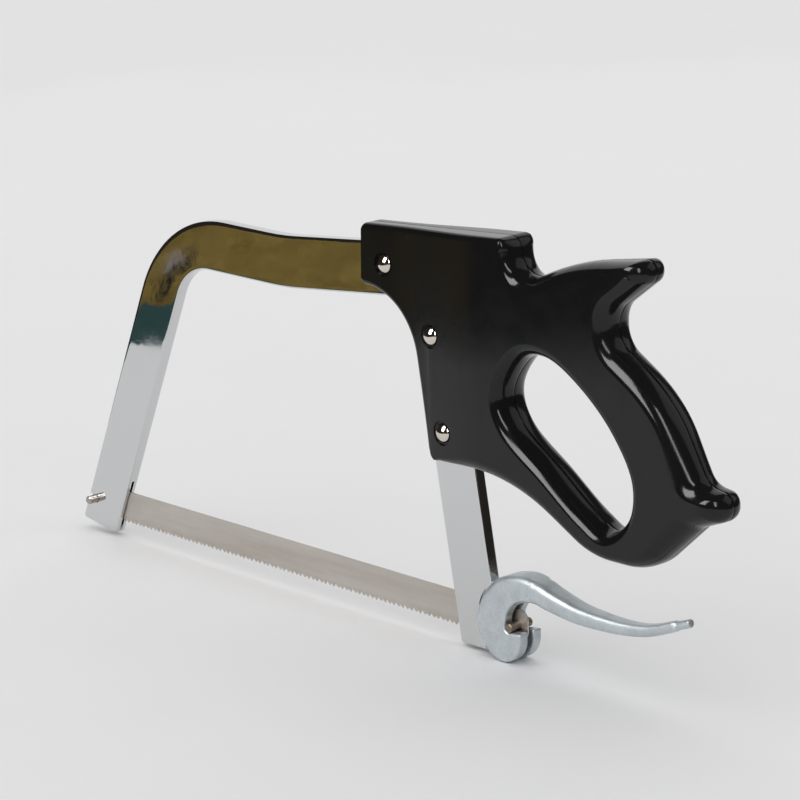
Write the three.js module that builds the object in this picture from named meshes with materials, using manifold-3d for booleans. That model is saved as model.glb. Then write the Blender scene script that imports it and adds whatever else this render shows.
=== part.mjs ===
// Bow-framed butcher saw: a bent flat bar, a handle moulded in two halves, a toothed blade on two
// cross pins, and a forked cam lever that tightens the blade. Sizes are in millimetres.
// X runs from the nose to the handle, Y across the bar and Z up. Shapes are drawn from the point
// where the front leg's centre line meets the blade's back edge.
import * as THREE from 'three';
import { mergeVertices } from 'three/addons/utils/BufferGeometryUtils.js';
import Module from 'manifold-3d';

const wasm = await Module();
wasm.setup();
const degrees = THREE.MathUtils.degToRad;
const point = (x, z) => new THREE.Vector2(x, z);

// Fits
const CLEARANCE = 0.3;
const ARC_STEP = degrees(9);
const ROUND_SIDES = 20;

// Bent flat bar
const BAR_WIDTH = 25;
const BAR_THICKNESS = 6;
const BAR_EDGE = 0.8;
const FRONT_LEG_ANGLE = degrees(67);
const REAR_LEG_X = 261.1;
const REAR_LEG_ANGLE = degrees(-79.7);
const TOP_HEIGHT = 137.6;
const TOP_ANGLE = degrees(-0.4);
const RISE_X = 138;
const RISE_ANGLE = degrees(5.7);
const FRONT_BEND_OUTER = 67;
const FRONT_BEND_INNER = 25;
const RISE_BEND = 180;
const REAR_BEND_OUTER = 35;
const REAR_BEND_INNER = 14;
const FOOT_DEPTH = 22.9;
const FOOT_ROUND = 1.5;
const FRONT_FOOT_CANT = degrees(-8.4);

// Blade and its cross pins
const BLADE_HEIGHT = 16.4;
const BLADE_THICKNESS = 0.8;
const SLOT_PLAY = 0.35;
const BLADE_SLOT_WIDTH = BLADE_THICKNESS + 2 * SLOT_PLAY;
const BLADE_SLOT_HEADROOM = 6;
const BLADE_END = 5.8;
const BLADE_END_ROUND = 5;
const TOOTH_PITCH = 2.94;
const TOOTH_DEPTH = 1.8;
const TOOTH_LEAN = 0.75;
const PIN_DROP = 7.5;
const FRONT_PIN_X = -11;
const FRONT_PIN_DIAMETER = 4;
const FRONT_PIN_LENGTH = 16.4;
const REAR_PIN_DIAMETER = 4.2;
const PIN_CHAMFER = 0.4;
const NOTCH_ROUND_SHARE = 0.98;
const NOTCH_LIP = 4;
const NOTCH_LIP_HEIGHT = 1.9;

// Cam lever
const LEVER_WIDTH = 14;
const LEVER_EDGE = 0.9;
const CROWN_EDGE = 3;
const FORK_PLAY = 1.4;
const LEVER_SLOT = BLADE_THICKNESS + 2 * FORK_PLAY;
const CAM_RADIUS = 20.2;
const CAM_FALL_PER_RADIAN = 2.4;
const CAM_START = degrees(180);
const CAM_END = degrees(255);
const LIP_RADIUS = 0.594 * CAM_RADIUS;
const LIP_TOP = -0.064 * CAM_RADIUS;
const LIP_START = degrees(-85);
const LIP_END = degrees(5);
const PIN_SEAT_START = degrees(-60);
const PIN_SEAT_END = degrees(-200);
const SLOT_ROOM = 1.2;
const END_ROOM = 0.9;
const SEAT_DEPTH = 9.45;
const SCOOP_ROOM = 2.6;
const TAIL_HEIGHT = 11.6;
const TAIL_WIDTH = 14;
const TAIL_TIP_HEIGHT = 4.8;
const TAIL_TIP_WIDTH = 5;
const TAIL_TAPER = 1.4;
const TAIL_STATIONS = 12;
const TAIL_SQUARENESS = 0.55;
const TIP_DIAMETER = 4;
const TIP_LENGTH = 8.5;

// Moulded handle
const COVER = 3.6;
const HANDLE_FRONT_THICKNESS = BAR_THICKNESS + 2 * COVER;
const HANDLE_LENGTH = 217.5;
const HORN_TIP_SHARE = 61.84;
const SPUR_TIP_SHARE = 81.43;
const HOLE_POINTS = 44;
const GRIP_SWELL = 4;
const SWELL_STRIPS = 4;
const EDGE_STEPS = 3;
const HANDLE_GRIP_THICKNESS = HANDLE_FRONT_THICKNESS + 2 * GRIP_SWELL;
const SWELL_MARGIN = 4.55;
const SWELL_LENGTH = 60;
const SEAM_GAP = 0.2;
const FRONT_EDGE = 2.5;
const GRIP_EDGE = 0.029 * HANDLE_LENGTH;
const GRIP_ROLL = 9.4;
const CORNER_SHARE = 0.62;
const TIP_PULL = 0.03 * HANDLE_LENGTH;
const FRONT_SETBACK = 0.5;

// Handle screws and sleeve nuts
const SCREW_RISE_X = 209.6;
const SCREW_RISE_OFFSET = 2.65;
const SCREW_LEG_OFFSET = 0.8;
const SCREW_BEND_HEIGHT = 119.3;
const SCREW_LEG_HEIGHT = 76;
const HEAD_DIAMETER = 8.8;
const HEAD_HEIGHT = 2.2;
const DOME_STEPS = 5;
const HEAD_RECESS_MARGIN = 1.3;
const HEAD_RECESS_DIAMETER = HEAD_DIAMETER + 2 * HEAD_RECESS_MARGIN;
const HEAD_RECESS_DEPTH = 1;
const SHANK_DIAMETER = 3.4;
const SHANK_SHORT = 2;
const SLEEVE_WALL = 0.7;
const SLEEVE_DIAMETER = SHANK_DIAMETER + 2 * (CLEARANCE + SLEEVE_WALL);

// Straight lines, given by a point and a direction, and where they cross
const line = (x, z, angle) => ({ x, z, angle });
const beside = (l, left) =>
  line(l.x - left * Math.sin(l.angle), l.z + left * Math.cos(l.angle), l.angle);

function meet(a, b) {
  const across = (b.x - a.x) * Math.sin(b.angle) - (b.z - a.z) * Math.cos(b.angle);
  const along = across / Math.sin(b.angle - a.angle);
  return point(a.x + along * Math.cos(a.angle), a.z + along * Math.sin(a.angle));
}

// Closed outline whose corners { at, round, pull } are rounded by arcs. Each point knows how far an edge
// can be rounded there: an outer corner leaves room for less than its own radius. A pull draws the edge
// back further, as at the tip of a horn.
function rounded(corners) {
  return corners.flatMap(({ at, round = 0, pull = point(0, 0) }, i) => {
    if (round === 0) return [at.clone()];
    const back = corners.at(i - 1).at.clone().sub(at).normalize();
    const ahead = corners[(i + 1) % corners.length].at.clone().sub(at).normalize();
    const half = Math.acos(THREE.MathUtils.clamp(back.dot(ahead), -1, 1)) / 2;
    const turn = (Math.PI - 2 * half) * Math.sign(ahead.cross(back));
    const centre = back.clone().add(ahead).setLength(round / Math.sin(half)).add(at);
    const start = back.multiplyScalar(round / Math.tan(half)).add(at);
    const steps = Math.max(1, Math.ceil(Math.abs(turn) / ARC_STEP));
    const edge = turn > 0 ? Math.min(GRIP_EDGE, CORNER_SHARE * round) : GRIP_EDGE;
    return Array.from({ length: steps + 1 }, (_, k) =>
      Object.assign(start.clone().rotateAround(centre, turn * k / steps), { edge, pull }));
  });
}

// Flat plate in the XZ plane, centred on Y = 0, with softened edges
function plate(outline, thickness, edge = 0) {
  const extruded = new THREE.ExtrudeGeometry(new THREE.Shape(outline), {
    depth: thickness - 2 * edge,
    bevelEnabled: edge > 0,
    bevelThickness: edge,
    bevelSize: edge,
    bevelOffset: -edge,
    bevelSegments: 2,
  });
  return solid(extruded.translate(0, 0, edge - thickness / 2).rotateX(Math.PI / 2));
}

// Turned piece along Y; the profile runs from the axis back to the axis
function turned(profile, x, z) {
  return solid(new THREE.LatheGeometry(profile, ROUND_SIDES).translate(x, 0, z));
}

function rod(diameter, length, x, z, middle = 0) {
  const cylinder = new THREE.CylinderGeometry(diameter / 2, diameter / 2, length, ROUND_SIDES);
  return solid(cylinder.translate(x, middle, z));
}

function solid(geometry) {
  geometry.deleteAttribute('normal');
  geometry.deleteAttribute('uv');
  const merged = mergeVertices(geometry, 1e-4);
  const vertProperties = new Float32Array(merged.attributes.position.array);
  const triVerts = new Uint32Array(merged.index.array);
  return new wasm.Manifold(new wasm.Mesh({ numProp: 3, vertProperties, triVerts }));
}

const saw = new THREE.Group();

function addPiece(name, body, color, roughness, metalness) {
  const { vertProperties, triVerts } = body.getMesh();
  const geometry = new THREE.BufferGeometry();
  geometry.setAttribute('position', new THREE.BufferAttribute(vertProperties, 3));
  geometry.setIndex(new THREE.BufferAttribute(triVerts, 1));
  geometry.computeVertexNormals();
  const material = new THREE.MeshStandardMaterial({ color, roughness, metalness });
  const mesh = new THREE.Mesh(geometry, material);
  mesh.name = name;
  saw.add(mesh);
}

// Centre lines of the bar, followed from the front foot to the rear foot
const frontLeg = line(0, 0, FRONT_LEG_ANGLE);
const top = line(RISE_X, TOP_HEIGHT, TOP_ANGLE);
const rise = line(RISE_X, TOP_HEIGHT, RISE_ANGLE);
const rearLeg = line(REAR_LEG_X, 0, REAR_LEG_ANGLE);
const feet = line(0, -FOOT_DEPTH, 0);
const frontToe = meet(beside(frontLeg, -BAR_WIDTH / 2), feet);
const frontSole = line(frontToe.x, frontToe.y, FRONT_FOOT_CANT);

// Outline of the bar, larger all round by grow
function barOutline(grow) {
  const half = BAR_WIDTH / 2 + grow;
  const corner = (a, b, side, round) => ({ at: meet(beside(a, side), beside(b, side)), round });
  const foot = (leg, side, sole) => ({ at: meet(beside(leg, side), beside(sole, -grow)), round: FOOT_ROUND });
  return rounded([
    foot(frontLeg, half, frontSole),
    corner(frontLeg, top, half, FRONT_BEND_OUTER),
    corner(top, rise, half, RISE_BEND),
    corner(rise, rearLeg, half, REAR_BEND_OUTER),
    foot(rearLeg, half, feet),
    foot(rearLeg, -half, feet),
    corner(rise, rearLeg, -half, REAR_BEND_INNER),
    corner(top, rise, -half, RISE_BEND),
    corner(frontLeg, top, -half, FRONT_BEND_INNER),
    foot(frontLeg, -half, frontSole),
  ].reverse());
}

// The cam bears on a seat cut into the rear edge of the rear leg. The rear pin stands one cam radius behind
// it, and the front pin in the notch of the front leg.
const contactAngle = REAR_LEG_ANGLE + degrees(270);
const seatOffset = BAR_WIDTH / 2 - SEAT_DEPTH;
const camSeat = beside(rearLeg, seatOffset);
const pinLevel = line(0, -PIN_DROP, 0);
const frontPin = point(FRONT_PIN_X, -PIN_DROP);
const rearPin = meet(beside(rearLeg, seatOffset + CLEARANCE + CAM_RADIUS), pinLevel);

// Blade slots through both legs, open at the feet
const slotDepth = 2 * (FOOT_DEPTH + BLADE_SLOT_HEADROOM);
const slotLength = 2 * rearPin.x;
const bladeSlots = solid(new THREE.BoxGeometry(slotLength, BLADE_SLOT_WIDTH, slotDepth)
  .translate(rearPin.x / 2, 0, BLADE_SLOT_HEADROOM - slotDepth / 2));

// Notch for the front pin, open to the front, with its upper lip cut back
const notchHalf = FRONT_PIN_DIAMETER / 2 + CLEARANCE;
const notchRound = NOTCH_ROUND_SHARE * notchHalf;
const frontOfLeg = frontPin.x - 2 * BAR_WIDTH;
const notchEnd = frontPin.x + notchHalf;
const lipX = frontPin.x - NOTCH_LIP;
const pinNotch = plate(rounded([
  { at: point(frontOfLeg, frontPin.y - notchHalf) },
  { at: point(notchEnd, frontPin.y - notchHalf), round: notchRound },
  { at: point(notchEnd, frontPin.y + notchHalf), round: notchRound },
  { at: point(lipX, frontPin.y + notchHalf) },
  { at: point(lipX, frontPin.y + notchHalf + NOTCH_LIP_HEIGHT) },
  { at: point(frontOfLeg, frontPin.y + notchHalf + NOTCH_LIP_HEIGHT) },
]), 2 * BAR_THICKNESS);

// Recess in the rear edge of the rear leg, in which the cam bears: all behind the seat up to the level of
// the pin, and above it a round scoop that clears the turning cam
const belowFeet = line(0, -2 * FOOT_DEPTH, 0);
const aboveCam = line(0, 2 * CAM_RADIUS, 0);
const clearOfLeg = beside(rearLeg, 2 * BAR_WIDTH);
const behindSeat = (low, high) => plate([
  meet(camSeat, low), meet(clearOfLeg, low), meet(clearOfLeg, high), meet(camSeat, high),
], 2 * BAR_THICKNESS);
const scoop = rod(2 * (CAM_RADIUS + SCOOP_ROOM), 3 * BAR_THICKNESS, rearPin.x, rearPin.y);
const camRecess = behindSeat(belowFeet, pinLevel).add(scoop.intersect(behindSeat(belowFeet, aboveCam)));

// Handle screws: one on the rise and two down the rear leg, all a little outside the bar's centre line
const onLeg = (z) => meet(beside(rearLeg, SCREW_LEG_OFFSET), line(0, z, 0));
const screwPlaces = [
  meet(beside(rise, SCREW_RISE_OFFSET), line(SCREW_RISE_X, 0, degrees(90))),
  onLeg(SCREW_BEND_HEIGHT),
  onLeg(SCREW_LEG_HEIGHT),
];

// The bar, drilled for the sleeves of the handle screws
let bar = plate(barOutline(0), BAR_THICKNESS, BAR_EDGE);
bar = bar.subtract(bladeSlots).subtract(pinNotch).subtract(camRecess);
for (const { x, y: z } of screwPlaces) {
  bar = bar.subtract(rod(SLEEVE_DIAMETER + 2 * CLEARANCE, 2 * BAR_THICKNESS, x, z));
}
addPiece('frame_bar', bar, '#c9cacb', 0.08, 1);

// Blade: a strip with raked teeth between the legs and a hole for each pin
const bladeFront = frontPin.x - BLADE_END;
const bladeRear = rearPin.x + BLADE_END;
const gullet = -BLADE_HEIGHT + TOOTH_DEPTH;
const legHalf = BAR_WIDTH / 2 / Math.sin(FRONT_LEG_ANGLE);
const teethStart = BLADE_HEIGHT / -Math.tan(FRONT_LEG_ANGLE) + legHalf - TOOTH_PITCH;
const teethEnd = meet(beside(rearLeg, -BAR_WIDTH / 2), line(0, -BLADE_HEIGHT, 0)).x + TOOTH_PITCH;
const toothCount = Math.floor((teethEnd - teethStart) / TOOTH_PITCH);
const teeth = Array.from({ length: toothCount }, (_, k) => {
  const root = teethStart + k * TOOTH_PITCH;
  return [point(root, gullet), point(root + TOOTH_LEAN * TOOTH_PITCH, -BLADE_HEIGHT)];
}).flat();
const bladeOutline = [
  ...rounded([
    { at: point(bladeRear, gullet), round: BLADE_END_ROUND },
    { at: point(bladeRear, 0), round: BLADE_END_ROUND },
    { at: point(bladeFront, 0), round: BLADE_END_ROUND },
    { at: point(bladeFront, gullet), round: BLADE_END_ROUND },
  ]),
  ...teeth,
  point(teethStart + toothCount * TOOTH_PITCH, gullet),
];
let blade = plate(bladeOutline, BLADE_THICKNESS);
blade = blade.subtract(rod(FRONT_PIN_DIAMETER + CLEARANCE, BAR_THICKNESS, frontPin.x, frontPin.y));
blade = blade.subtract(rod(REAR_PIN_DIAMETER + CLEARANCE, BAR_THICKNESS, rearPin.x, rearPin.y));
addPiece('blade', blade, '#a59b91', 0.45, 1);

function pin(diameter, length, at) {
  return turned([
    point(0, -length / 2),
    point(diameter / 2 - PIN_CHAMFER, -length / 2),
    point(diameter / 2, -length / 2 + PIN_CHAMFER),
    point(diameter / 2, length / 2 - PIN_CHAMFER),
    point(diameter / 2 - PIN_CHAMFER, length / 2),
    point(0, length / 2),
  ], at.x, at.y);
}
addPiece('front_blade_pin', pin(FRONT_PIN_DIAMETER, FRONT_PIN_LENGTH, frontPin), '#b9b4ab', 0.35, 1);
addPiece('rear_blade_pin', pin(REAR_PIN_DIAMETER, LEVER_WIDTH, rearPin), '#6d6154', 0.5, 1);

// Cam lever, drawn about the rear pin in cam radii. The rim falls steadily with its angle, so that the
// blade moves evenly as the lever swings down.
const radii = (x, z) => point(x, z).multiplyScalar(CAM_RADIUS);
const polar = (radius, angle) => point(radius * Math.cos(angle), radius * Math.sin(angle));
const arc = (centre, radius, from, to) => {
  const steps = Math.ceil(Math.abs(to - from) / ARC_STEP);
  return Array.from({ length: steps + 1 }, (_, k) =>
    polar(radius, from + (to - from) * k / steps).add(centre));
};
const camPoint = (angle) => polar(CAM_RADIUS - CAM_FALL_PER_RADIAN * (angle - contactAngle), angle);
const camSteps = Math.ceil((CAM_END - CAM_START) / ARC_STEP);
const rim = Array.from({ length: camSteps + 1 }, (_, k) =>
  camPoint(CAM_START + (CAM_END - CAM_START) * k / camSteps));
const lipCentre = camPoint(CAM_END).add(point(0, LIP_RADIUS));
const hookArch = new THREE.SplineCurve([
  radii(0.693, 1.208), radii(0.446, 1.252), radii(0.183, 1.238), radii(-0.163, 1.153),
  radii(-0.520, 0.970), radii(-0.861, 0.525),
  camPoint(CAM_START),
]).getPoints(16);
const hookMouth = new THREE.SplineCurve([
  radii(-0.094, 0.248), radii(0.005, 0.421), radii(0.153, 0.579), radii(0.351, 0.683), radii(0.624, 0.723),
]).getPoints(10);
const hubOutline = [
  ...hookArch,
  ...rim.slice(1),
  ...arc(lipCentre, LIP_RADIUS, LIP_START, LIP_END),
  point(lipCentre.x + LIP_RADIUS, LIP_TOP),
  ...arc(point(0, 0), REAR_PIN_DIAMETER / 2 + CLEARANCE, PIN_SEAT_START, PIN_SEAT_END),
  ...hookMouth,
];
const crownOutline = [
  ...hookArch,
  point(-2 * CAM_RADIUS, 0),
  point(-2 * CAM_RADIUS, -2 * CAM_RADIUS),
  point(2 * CAM_RADIUS, -2 * CAM_RADIUS),
  point(2 * CAM_RADIUS, hookArch[0].y),
];
const crown = plate(crownOutline, LEVER_WIDTH, CROWN_EDGE);
const hub = plate(hubOutline, LEVER_WIDTH, LEVER_EDGE).intersect(crown);

// Tail: oblong sections along a curve, thinning to a small round tip
const tailCurve = new THREE.SplineCurve([
  radii(0.297, 0.955), radii(0.743, 0.931), radii(1.089, 0.842), radii(1.832, 0.698),
  radii(2.525, 0.663), radii(3.218, 0.678),
  radii(3.911, 0.782), radii(4.653, 1.050),
]);
const sections = Array.from({ length: TAIL_STATIONS + 1 }, (_, k) => {
  const t = k / TAIL_STATIONS;
  return {
    at: tailCurve.getPointAt(t),
    heading: tailCurve.getTangentAt(t),
    height: TAIL_TIP_HEIGHT + (TAIL_HEIGHT - TAIL_TIP_HEIGHT) * (1 - t) ** TAIL_TAPER,
    width: TAIL_WIDTH + (TAIL_TIP_WIDTH - TAIL_WIDTH) * t,
    power: TAIL_SQUARENESS,
  };
});
const tailEnd = sections.at(-1);
for (const reach of [CLEARANCE, TIP_LENGTH]) {
  const at = tailEnd.at.clone().addScaledVector(tailEnd.heading, reach);
  sections.push({ ...tailEnd, at, height: TIP_DIAMETER, width: TIP_DIAMETER, power: 1 });
}
const oblong = (value, power) => Math.sign(value) * Math.abs(value) ** power;
const tailRings = sections.map(({ at, heading, height, width, power }) =>
  Array.from({ length: ROUND_SIDES }, (_, k) => {
    const angle = -2 * Math.PI * k / ROUND_SIDES;
    const up = height / 2 * oblong(Math.sin(angle), power);
    const across = width / 2 * oblong(Math.cos(angle), power);
    return new THREE.Vector3(at.x - up * heading.y, across, at.y + up * heading.x);
  }));

// Triangles between two closed rings of points, and over a flat end
const band = (lower, upper) => lower.flatMap((p, i) => {
  const next = (i + 1) % lower.length;
  return [p, upper[i], lower[next], lower[next], upper[i], upper[next]];
});
const fan = (ring) => ring.slice(2).flatMap((p, i) => [ring[0], ring[i + 1], p]);
const bodyOf = (triangles) => solid(new THREE.BufferGeometry().setFromPoints(triangles));

const tailFaces = tailRings.slice(1).flatMap((ring, i) => band(tailRings[i], ring));
const tail = bodyOf([...tailFaces, ...fan(tailRings[0]), ...fan(tailRings.at(-1).toReversed())]);

// Fork slot: it clears the blade, and the blade's end, all the way round the swing
const slotTop = PIN_DROP + SLOT_ROOM;
const forkReach = 2 * CAM_RADIUS;
const endSweep = Math.hypot(BLADE_END, PIN_DROP) + END_ROOM;
const fork = solid(new THREE.BoxGeometry(2 * forkReach, LEVER_SLOT, forkReach)
  .translate(0, 0, slotTop - forkReach / 2));
const forkEnd = rod(2 * endSweep, LEVER_SLOT, 0, 0);
const lever = hub.add(tail).subtract(fork).subtract(forkEnd);
addPiece('tension_lever', lever.translate([rearPin.x, 0, rearPin.y]), '#b4bcc2', 0.32, 1);

// Handle outline, counter-clockwise from the foot of its front edge, drawn from the bend of the bar in
// hundredths of the handle's length. The front edge follows the rear leg's inner edge.
const bend = meet(rise, rearLeg);
const hundredth = HANDLE_LENGTH / 100;
const fromBend = (x, z) => point(x, z).multiplyScalar(hundredth).add(bend);
const handleCorner = (x, z, round, pull) => ({ at: fromBend(x, z), round: round * hundredth, pull });
const handleFront = beside(rearLeg, -BAR_WIDTH / 2 + FRONT_SETBACK);
const handleFoot = line(0, fromBend(0, -39.45).y, 0);
const blockFoot = fromBend(-18.85, -4.97);
const blockFloor = line(blockFoot.x, blockFoot.y, -RISE_ANGLE);
const tipPull = point(-TIP_PULL, 0);
const handleOutline = rounded([
  { at: meet(handleFront, handleFoot), round: 3.40 * hundredth },
  handleCorner(25.38, -39.26, 50.57),
  handleCorner(47.59, -51.03, 20.69),
  handleCorner(62.21, -51.03, 13.79),
  handleCorner(74.80, -39.49, 5.52, tipPull),
  handleCorner(SPUR_TIP_SHARE, -36.87, 2.9, tipPull),
  handleCorner(SPUR_TIP_SHARE, -32.09, 2.9, tipPull),
  handleCorner(75.45, -31.26, 4.5, tipPull),
  handleCorner(66.25, -15.22, 34.48),
  handleCorner(52.18, -6.71, 5.6),
  handleCorner(52.18, -0.18, 5.6),
  handleCorner(HORN_TIP_SHARE, 7.08, 2.4, tipPull),
  handleCorner(HORN_TIP_SHARE, 11.26, 2.4, tipPull),
  handleCorner(40.78, 7.91, 58),
  handleCorner(26.44, 0.83, 4.60),
  handleCorner(25.79, 10.76, 2.9),
  handleCorner(-18.57, 7.91, 1.84),
  { at: blockFoot, round: 1.38 * hundredth },
  { at: meet(blockFloor, handleFront), round: 15.63 * hundredth },
]);

// Hand hole, clockwise, so that the plastic lies to the left of both outlines
const holeCurve = new THREE.CatmullRomCurve3([
  [24.46, -18.48], [29.29, -13.20], [35.72, -12.74], [44.46, -17.33], [52.83, -25.01], [57.79, -33.66],
  [57.06, -40.64], [51.82, -44.97], [46.30, -42.62], [35.95, -35.22], [25.61, -27.68], [23.31, -22.62],
].map(([x, z]) => fromBend(x, z)).map(({ x, y: z }) => new THREE.Vector3(x, 0, z)), true);
const handHole = holeCurve.getSpacedPoints(HOLE_POINTS).slice(1).map((p) =>
  Object.assign(point(p.x, p.z), { edge: GRIP_EDGE, pull: point(0, 0) }));

// How far the block has swelled to the thickness of the grip at X
const holeFront = Math.min(...handHole.map((p) => p.x));
const swellStart = holeFront - GRIP_EDGE - SWELL_MARGIN - SWELL_LENGTH;
const swell = (x) => THREE.MathUtils.smoothstep(x, swellStart, swellStart + SWELL_LENGTH);
const faceHeight = (x) => THREE.MathUtils.lerp(HANDLE_FRONT_THICKNESS, HANDLE_GRIP_THICKNESS, swell(x)) / 2;
const folds = Array.from({ length: SWELL_STRIPS + 1 }, (_, k) =>
  swellStart + SWELL_LENGTH * k / SWELL_STRIPS);

// An outline with extra points where it crosses the folds of the swelling face
function creased(outline) {
  return outline.flatMap((p, i) => {
    const next = outline[(i + 1) % outline.length];
    const crossed = folds.filter((x) => (x - p.x) * (x - next.x) < 0);
    if (next.x < p.x) crossed.reverse();
    const between = crossed.map((x) => {
      const share = (x - p.x) / (next.x - p.x);
      const edge = THREE.MathUtils.lerp(p.edge, next.edge, share);
      return Object.assign(p.clone().lerp(next, share).setX(x), { edge, pull: p.pull });
    });
    return [p, ...between];
  });
}

// Rings of one outline, from the seam over the rounded edge to the flat side
function edgeRings(outline) {
  const points = creased(outline);
  const inward = points.map((p, i) => {
    const ahead = points[(i + 1) % points.length].clone().sub(p).normalize();
    const behind = p.clone().sub(points.at(i - 1)).normalize();
    const along = ahead.add(behind).normalize();
    return point(-along.y, along.x);
  });
  const ring = (turn, seam) => points.map((p, i) => {
    const reach = THREE.MathUtils.lerp(FRONT_EDGE, GRIP_EDGE, swell(p.x));
    const roll = THREE.MathUtils.lerp(FRONT_EDGE, GRIP_ROLL, swell(p.x));
    const inset = inward[i].clone().multiplyScalar(Math.min(reach, p.edge)).add(p.pull);
    const height = seam ? SEAM_GAP / 2 : faceHeight(p.x) - roll * (1 - Math.sin(turn));
    const { x, y: z } = inset.multiplyScalar(1 - Math.cos(turn)).add(p);
    return Object.assign(new THREE.Vector3(x, height, z), { station: p.x });
  });
  const rises = Array.from({ length: EDGE_STEPS + 1 }, (_, k) => ring(Math.PI / 2 * k / EDGE_STEPS, false));
  return [ring(0, true), ...rises];
}

// Triangles over a face with holes, facing -Y
function facing(contour, holes = []) {
  const flat = (ring) => ring.map((p) => point(p.x, p.z));
  const all = [contour, ...holes].flat();
  return THREE.ShapeUtils.triangulateShape(flat(contour), holes.map(flat)).flat().map((i) => all[i]);
}

// One half of the handle before it is cut, on the far side
function handleBlank() {
  const outer = edgeRings(handleOutline);
  const hole = edgeRings(handHole);
  const walls = [outer, hole].flatMap((rings) =>
    rings.slice(1).flatMap((ring, i) => band(rings[i], ring)));
  const rim = outer.at(-1);
  const limits = [-Infinity, ...folds, Infinity];
  const side = limits.slice(1).flatMap((to, i) => {
    const strip = rim.filter((p) => p.station >= limits[i] && p.station <= to);
    return facing(strip, to === Infinity ? [hole.at(-1)] : []);
  });
  return [...walls, ...facing(outer[0], [hole[0]]), ...side.toReversed()];
}
const farBlank = handleBlank();
const nearBlank = farBlank.map((p) => new THREE.Vector3(p.x, -p.y, p.z)).toReversed();

// The bar's bed in the handle, and the screw holes with their head recesses
const barBed = plate(barOutline(CLEARANCE), BAR_THICKNESS + 2 * CLEARANCE);
const wide = 2 * HANDLE_GRIP_THICKNESS;
function handleHalf(blank, side) {
  let half = bodyOf(blank).subtract(barBed);
  for (const { x, y: z } of screwPlaces) {
    const floor = faceHeight(x) - HEAD_RECESS_DEPTH;
    half = half.subtract(rod(SLEEVE_DIAMETER + 2 * CLEARANCE, wide, x, z));
    half = half.subtract(rod(HEAD_RECESS_DIAMETER, wide, x, z, side * (floor + wide / 2)));
  }
  return half;
}
addPiece('handle_half_near', handleHalf(nearBlank, -1), '#141414', 0.22, 0);
addPiece('handle_half_far', handleHalf(farBlank, 1), '#141414', 0.22, 0);

// Domed head on a seat, from the rim of its underside to the crown
function dome(seat) {
  const radius = HEAD_DIAMETER / 2;
  const ball = (radius ** 2 + HEAD_HEIGHT ** 2) / (2 * HEAD_HEIGHT);
  const spread = Math.asin(radius / ball);
  return Array.from({ length: DOME_STEPS + 1 }, (_, k) => {
    const angle = spread * (1 - k / DOME_STEPS);
    return point(ball * Math.sin(angle), seat + HEAD_HEIGHT - ball * (1 - Math.cos(angle)));
  });
}

screwPlaces.forEach(({ x, y: z }, i) => {
  const seat = faceHeight(x) - HEAD_RECESS_DEPTH + CLEARANCE;
  const shankReach = seat - SHANK_SHORT;
  const boreEnd = shankReach + CLEARANCE;
  const boreRadius = SHANK_DIAMETER / 2 + CLEARANCE;
  const sleeveReach = seat - CLEARANCE;
  const nut = [
    point(0, boreEnd),
    point(boreRadius, boreEnd),
    point(boreRadius, -sleeveReach),
    point(SLEEVE_DIAMETER / 2, -sleeveReach),
    point(SLEEVE_DIAMETER / 2, seat),
    ...dome(seat),
  ];
  const screw = [
    point(0, -shankReach),
    point(SHANK_DIAMETER / 2, -shankReach),
    point(SHANK_DIAMETER / 2, seat),
    ...dome(seat),
  ];
  const nearScrew = turned(screw, 0, 0).rotate([180, 0, 0]).translate([x, 0, z]);
  addPiece(`handle_bolt_${i + 1}`, nearScrew, '#c8c6c0', 0.12, 1);
  addPiece(`handle_nut_${i + 1}`, turned(nut, x, z), '#c8c6c0', 0.12, 1);
});

// The saw stands on the floor, centred on the origin
const bounds = new THREE.Box3().setFromObject(saw);
const middle = bounds.getCenter(new THREE.Vector3());
saw.position.set(-middle.x, 0, -bounds.min.z);

export default saw;
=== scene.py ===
import cmath
import math

import bmesh
import bpy
from mathutils import Matrix, Vector
from mathutils.geometry import tessellate_polygon


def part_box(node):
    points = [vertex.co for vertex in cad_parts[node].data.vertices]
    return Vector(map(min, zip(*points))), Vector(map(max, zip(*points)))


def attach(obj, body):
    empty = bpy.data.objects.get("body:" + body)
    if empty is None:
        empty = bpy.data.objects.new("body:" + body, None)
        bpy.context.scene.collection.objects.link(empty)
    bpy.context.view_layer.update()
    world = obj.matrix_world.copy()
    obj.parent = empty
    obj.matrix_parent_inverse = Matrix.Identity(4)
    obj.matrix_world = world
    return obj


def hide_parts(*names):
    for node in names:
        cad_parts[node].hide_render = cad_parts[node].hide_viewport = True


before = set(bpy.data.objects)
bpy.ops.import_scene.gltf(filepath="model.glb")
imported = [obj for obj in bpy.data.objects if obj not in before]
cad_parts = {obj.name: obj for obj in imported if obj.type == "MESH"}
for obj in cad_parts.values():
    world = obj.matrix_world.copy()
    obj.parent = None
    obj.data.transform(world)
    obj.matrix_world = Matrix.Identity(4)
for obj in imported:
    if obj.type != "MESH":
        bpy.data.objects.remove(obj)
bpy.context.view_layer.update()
scene = bpy.context.scene

# The view: the saw stands on white paper and is seen from behind its handle, a little from above.
# It is drawn in millimetres from where the front leg's centre line meets the back edge of the blade,
# and the front blade pin of the frame tells where that point is.
MM = 0.001
FRONT_PIN = Vector((-11, 0, -7.5))
AIM = (212.1, 0, 83.3)
AZIMUTH = math.radians(46.39)
ELEVATION = math.radians(14.79)
ROLL = math.radians(-1.12)
DISTANCE = 1491 * MM
LENS = 147.15
SENSOR_WIDTH = 36

pin_low, pin_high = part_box("front_blade_pin")
origin = (pin_low + pin_high) / 2 - FRONT_PIN * MM


def place(x, y, z):
    """A point of the drawing in the frame of the saw, in metres."""
    return origin + Vector((x, y, z)) * MM


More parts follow.
